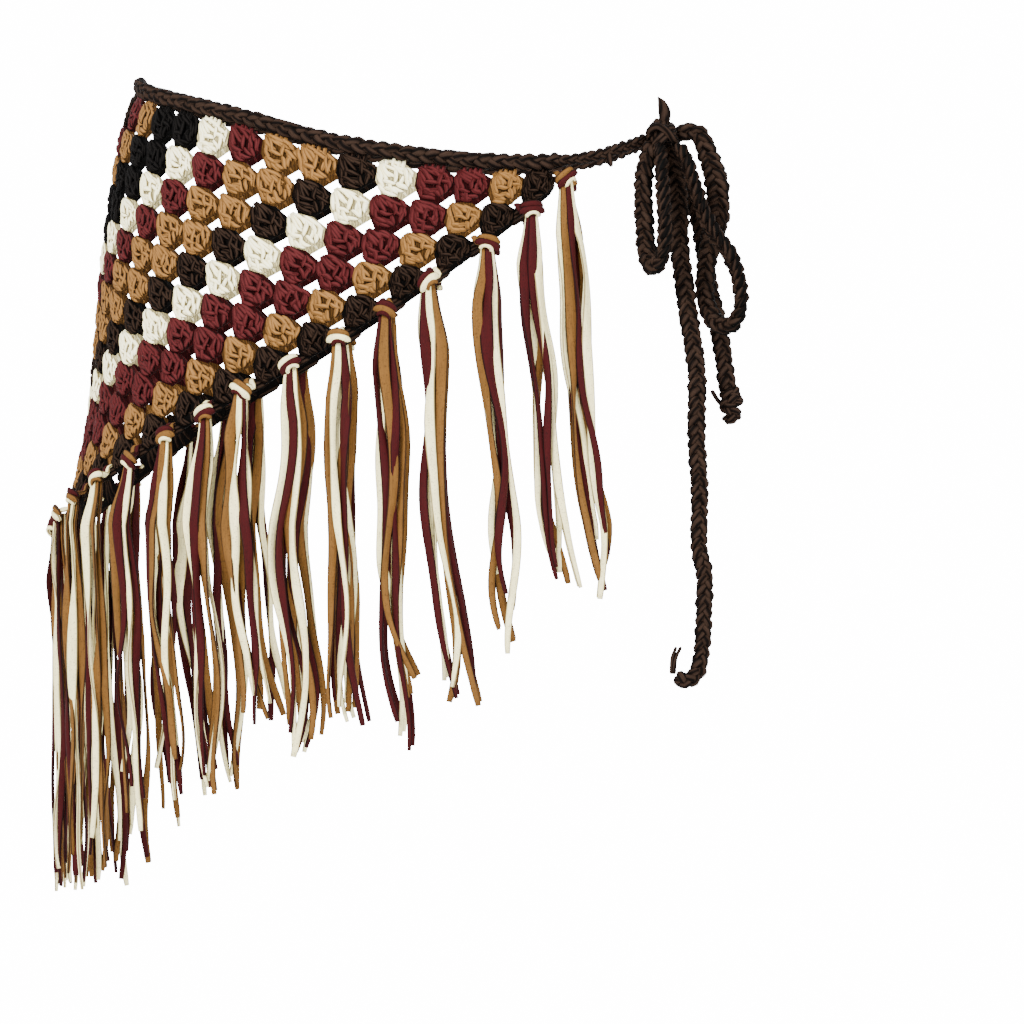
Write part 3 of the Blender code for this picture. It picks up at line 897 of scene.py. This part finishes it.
# Leaves of yarn that show on a cluster: along and across its start, along and across its end,
# half width in millimetres, height in steps.
LEAVES = (
    (0.08, -0.05, 0.42, -0.26, 1.20, 0.3),
    (0.08, 0.05, 0.42, 0.26, 1.20, 0.3),
    (0.07, 0.00, 0.46, 0.02, 1.25, 1.1),
    (0.08, -0.02, 0.44, -0.13, 1.20, 0.8),
    (0.08, 0.02, 0.44, 0.14, 1.20, 0.8),
    (0.12, 0.02, 0.52, -0.06, 1.10, 1.4),
    (0.20, -0.15, 0.55, -0.30, 1.20, 0.2),
    (0.20, 0.15, 0.55, 0.30, 1.20, 0.2),
    (0.20, -0.09, 0.54, -0.22, 1.15, 0.8),
    (0.20, 0.09, 0.54, 0.22, 1.15, 0.8),
    (0.38, -0.28, 0.63, -0.32, 1.25, 0.1),
    (0.38, 0.28, 0.63, 0.32, 1.25, 0.1),
    (0.54, -0.33, 0.76, -0.17, 1.25, 0.1),
    (0.54, 0.33, 0.76, 0.17, 1.25, 0.1),
    (0.33, -0.14, 0.56, 0.06, 1.20, 1.8),
    (0.36, 0.22, 0.58, 0.06, 1.20, 1.6),
    (0.42, -0.26, 0.66, -0.11, 1.20, 1.5),
    (0.52, -0.28, 0.75, -0.14, 1.15, 0.8),
    (0.66, -0.02, 0.52, -0.17, 1.10, 1.6),
    (0.54, 0.02, 0.79, -0.04, 1.25, 1.1),
    (0.60, 0.17, 0.79, 0.02, 1.20, 1.0),
    (0.50, 0.26, 0.75, 0.13, 1.20, 0.9),
    (0.46, 0.11, 0.72, 0.23, 1.10, 1.4),
    (0.58, -0.16, 0.79, -0.07, 1.20, 0.8),
)

# Broad strands behind the leaves, without a height.
LEAVES_BEHIND = (
    (0.05, -0.03, 0.74, -0.20, 1.7),
    (0.05, 0.00, 0.80, 0.00, 1.7),
    (0.05, 0.03, 0.74, 0.20, 1.7),
)


# Lift of a leaf off the hip form in metres: least, dome of the cluster, each step, sunken tips, by chance.
LEAF_LIFT = 0.0013
LEAF_DOME = 0.00085
LEAF_STEP = 0.00058
LEAF_SINK = 0.00045
LEAF_STRAY = 0.0001
CLUSTER_HALF_SPAN = 0.42
BEHIND_LIFT = 0.0011
BEHIND_HALF_THICK = 0.0009
MILLIMETRE = 0.001

# Strands from a cluster of the first row up under the waistband: places in the column, lift, half sizes.
TOP_STRANDS = (0.22, 0.36, 0.50, 0.64)
TOP_LIFT = 0.0020
TOP_HALF_WIDTH = 0.0011
TOP_HALF_THICK = 0.0009

# Chains of the hem outside a gap: columns past it, lift. Then their half width and half thickness.
HEM_CHAINS = ((0.13, 0.0013), (0.21, 0.0019), (0.29, 0.0013))
HEM_HALF_SIZES = (0.0012, 0.0010)


def cluster(yarn, column, row, side, chance):
    """Three double crochets, whose strands show as leaves that fan from the base and cross near the top."""
    normal = outward(lattice_place(column + 0.5, row + 0.5, side)[0], side)[0]
    line = np.linspace(-1, 1, 7)
    share = (line + 1) / 2
    swell = (1 - line**2) ** 0.55
    flip = 1 if (column * 7 + row * 3) % 2 else -1
    for e0, f0, e1, f1, wide, high in LEAVES:
        nudge = chance.uniform(-1, 1, 7)
        e = e0 + (e1 - e0) * share + 0.022 * nudge[0] + 0.020 * nudge[1] * line
        f = flip * (f0 + (f1 - f0) * share) + 0.020 * nudge[2] + 0.045 * nudge[3] * (1 - line**2)
        f = f + 0.022 * nudge[6] * np.sin(math.pi * line)
        dome = 1 - (f / CLUSTER_HALF_SPAN) ** 2
        lift = LEAF_LIFT + LEAF_DOME * dome + LEAF_STEP * high
        lift = lift + LEAF_SINK * (swell - 1) + LEAF_STRAY * nudge[4]
        path = panel_points(column + e + f, row + e - f, lift, side)
        width = (0.12 + 0.88 * swell) * wide * MILLIMETRE * (1 + 0.16 * nudge[5])
        yarn.strand(path, normal, width, 0.75 * width, ends=1.0)
    if row == 0:
        full = 0.3 + 0.7 * swell
        for place in TOP_STRANDS:
            rise = np.linspace(0.22, -0.14, 7)
            path = panel_points(column + place + 0.02 * chance.uniform(-1, 1), rise, TOP_LIFT, side)
            yarn.strand(path, normal, TOP_HALF_WIDTH * full, TOP_HALF_THICK * full, ends=1.0)
    for e0, f0, e1, f1, wide in LEAVES_BEHIND:
        few = share[::2]
        e, f = e0 + (e1 - e0) * few, f0 + (f1 - f0) * few
        path = panel_points(column + e + f, row + e - f, BEHIND_LIFT, side)
        yarn.strand(path, normal, wide * MILLIMETRE * (0.2 + 0.8 * swell[::2]), BEHIND_HALF_THICK, ends=1.0)


def hem_bridge(yarn, column, side):
    """The chain of the hem outside a gap, between the tops of two clusters."""
    row = ROWS - column
    normal = outward(lattice_place(column, row, side)[0], side)[0]
    share = np.linspace(-1, 1, 9)
    for e, lift in HEM_CHAINS:
        f = share * (0.9 * e)
        path = panel_points(column + e + f, row + e - f, lift - 0.0004 * share**2, side)
        yarn.strand(path, normal, *HEM_HALF_SIZES)


def crochet(name, side, looks):
    """All the clusters of one half, one mesh for each colour of yarn."""
    groups = {}
    chance = np.random.default_rng(7)
    for column in range(ROWS):
        for row in range(ROWS - column):
            colour = ROW_YARNS[column + row]
            cluster(groups.setdefault(colour, Yarn(6)), column, row, side, chance)
    for column in range(1, ROWS):
        hem_bridge(groups[ROW_YARNS[-1]], column, side)
    made = []
    for colour, yarn in groups.items():
        piece = yarn.made("stitches_%s_%s" % (name, colour), looks[colour])
        made.append(piece)
    return made


# The fringe.

# The flat tails: half width, its ripple, half thickness, and share of the width at places from 0 to 1.
TAIL_HALF_WIDTH = 0.00195
TAIL_RIPPLE = 0.00022
TAIL_HALF_THICK = 0.00078
TAIL_TAPER = ((0, 0.7), (0.04, 0.9), (0.10, 1.15), (0.35, 1.2), (0.6, 0.98), (1, 0.66))

# How far a tail strays to the side, in slow bends, in small waves and in the hook at its end.
TAIL_SWAY = 0.0012
TAIL_BEND = 0.0026
TAIL_WAVE = 0.0006
TAIL_HOOK = 0.0040
HOOK_START, HOOK_LENGTH = 0.80, 0.20
NECK_SHARE = 0.13

# Bands of a tassel's head: place over the middle, reach to each side, half width.
HEAD_BANDS = ((0.0015, 0.0036, 0.00165), (-0.0009, 0.0041, 0.00175), (-0.0024, 0.0024, 0.00095))
LEG_SPACING = 0.0027
UP = np.array((0.0, 0.0, 1.0))


def tassel_tails(yarns, row, letters, side, angle, centre, out, aside, chance):
    """Six flat yarns that hang from the neck of a tassel."""
    column, lift, swing, longest, shortest = row[0], *row[3:]
    foot = centre - UP * HEAD_HEIGHT / 2
    share = np.linspace(0, 1, 46)
    ease = np.minimum(1.0, share / NECK_SHARE)
    lean = lift + (min(lift, HANGING_LIFT) - lift) * np.minimum(1.0, share / 0.42)
    taper = np.interp(share, *zip(*TAIL_TAPER))
    for k in range(6):
        turn = math.pi * (k + 0.5) / 3
        reach = HEAD_RADIUS * math.cos(math.pi / 6) * 2 / 3
        spread, depth = reach * math.cos(turn), reach * math.sin(turn)
        length = shortest + (longest - shortest) * STRAND_SHARES[k]
        sway = swing * share**1.4 + TAIL_SWAY * np.sin(9 * share + 2.1 * column) * ease
        on_form = hip_points(angle, foot[2] - share * length, 0.0, side)
        a, b, c, d = chance.uniform(0, 2 * math.pi, 4)
        speed = chance.uniform(0.75, 1.3, 4)
        hook = np.clip((share - HOOK_START) / HOOK_LENGTH, 0, 1) ** 2
        curl = TAIL_BEND * np.sin(6.5 * speed[0] * share + a) * share**0.5
        curl = curl + TAIL_WAVE * np.sin(15 * speed[1] * share + b) + TAIL_HOOK * math.sin(b) * hook
        lane = LANE_SPREAD * spread / HEAD_RADIUS / 0.5
        across = spread * (0.55 + 0.45 * ease) + sway + ease * (lane + curl)
        deep = depth * (0.70 + 0.30 * ease) + ease * 0.0008 * np.sin(11 * speed[2] * share + c)
        path = on_form + out * (lean + deep)[:, None] + aside * across[:, None]
        path[0] += UP * 0.0042
        path[1] += UP * 0.0012
        spin = (0.75 * np.sin(6 * speed[3] * share + d) + 0.30 * np.sin(14 * share + a)) * ease
        wide = chance.uniform(0.86, 1.20) * taper * (TAIL_HALF_WIDTH + TAIL_RIPPLE * np.sin(12 * share + c))
        yarns[letters[k]].strand(path, out, wide, TAIL_HALF_THICK, spin=spin, ends=0.85)


def tassel_head(yarns, column, letters, side, centre, out, aside):
    """Yarns side by side that slant over the neck and turn back at both sides."""
    slant = 0.70 * math.sin(2.3 * column + 0.9 * side) + 0.12
    along = aside * math.cos(slant) + UP * math.sin(slant)
    over = UP * math.cos(slant) - aside * math.sin(slant)
    turn = np.linspace(-0.25, math.pi + 0.25, 17)
    for k, (place, reach, wide) in enumerate(HEAD_BANDS):
        path = (
            centre
            + over * (place + 0.0014 * np.sin(turn))[:, None]
            + along * (reach * np.cos(turn))[:, None]
            + out * (0.0010 + 0.0004 * k + 0.0022 * np.sin(turn))[:, None]
        )
        wide = wide * (1 + 0.15 * np.sin(2 * turn + column))
        yarns[letters[2 - k]].strand(path, out, wide, 0.00100, ends=0.45)


def tassel_legs(yarns, column, letters, side, centre, out, aside):
    """Two yarns between the head and the gap, over the chain of the hem."""
    chain = panel_points(column + 0.24, ROWS - column + 0.24, 0.0040, side)[0]
    edge = panel_points(column + 0.09, ROWS - column + 0.09, 0.0030, side)[0]
    inside = panel_points(column + 0.05, ROWS - column + 0.05, 0.0004, side)[0]
    for k in range(2):
        place = (k - 0.5) * LEG_SPACING
        route = (
            centre + aside * place + out * 0.0006 + UP * 0.0020,
            chain + aside * place,
            edge + aside * place * 0.9,
            inside + aside * place * 0.8,
        )
        yarns[letters[2 - k]].strand(smooth_route(route, 0.0009), out, 0.00145, 0.00080, ends=0.7)


def tassel(yarns, row, letters, side, chance):
    """Yarns folded over the hem: six flat tails, three bands over the neck and two legs to the gap."""
    column, shift_column, shift_row, lift = row[:4]
    angle, height = lattice_place(column + shift_column, ROWS - column + shift_row, side)
    angle, height = float(angle), float(height)
    out = outward(angle, side)[0]
    aside = np.array((-out[1], out[0], 0.0)) * -side
    centre = hip_points(angle, height, lift, side)[0]
    tassel_tails(yarns, row, letters, side, angle, centre, out, aside, chance)
    tassel_head(yarns, column, letters, side, centre, out, aside)
    tassel_legs(yarns, column, letters, side, centre, out, aside)


def fringe(looks):
    names = {"c": "cream", "b": "burgundy", "t": "tan"}
    for side, place in ((-1, "front"), (1, "back")):
        chance = np.random.default_rng(21)
        rows = TASSELS if side < 0 else TASSELS[:-1]
        for number, row in enumerate(rows, 1):
            node = "tassel_%s_%02d" % (place, number) if number <= ROWS else "tassel_apex"
            yarns = {letter: Yarn(8) for letter in names}
            tassel(yarns, row, TASSEL_YARNS[number - 1], side, chance)
            for letter, yarn in yarns.items():
                made = yarn.made("%s_%s" % (node, names[letter]), looks[names[letter]])
                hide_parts(node)


def main():
    camera()
    yarn_looks = {
        name: yarn_material("yarn_" + name, *colours, shine=0.03 if name in DULL_YARNS else 0.10)
        for name, colours in YARNS.items()
    }
    tape_looks = {
        name: yarn_material("tape_" + name, *YARNS[name], lay=0.30, rough=0.7, ridge_share=0.06, speckle=0.50)
        for name in ("cream", "tan", "burgundy")
    }
    cord_look = yarn_material("cord_dark_brown", *CORD_COLOURS, shine=0.04)
    bow(cord_look)
    studio()
    belt(cord_look)
    # The backing's colour is painted shade: each yarn's shade colour with a little of its crest colour.
    shade_backing_looks = {
        name: shade_backing_material("shade_backing_" + name, [0.65 * low + 0.35 * high for high, low in zip(*colours[:2])])
        for name, colours in YARNS.items()
    }
    for place, side in (("front", -1), ("back", 1)):
        shell = backing("granny_shell_" + place, side, shade_backing_looks)
        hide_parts("panel_" + place)
        stitches = crochet(place, side, yarn_looks)
    fringe(tape_looks)


main()
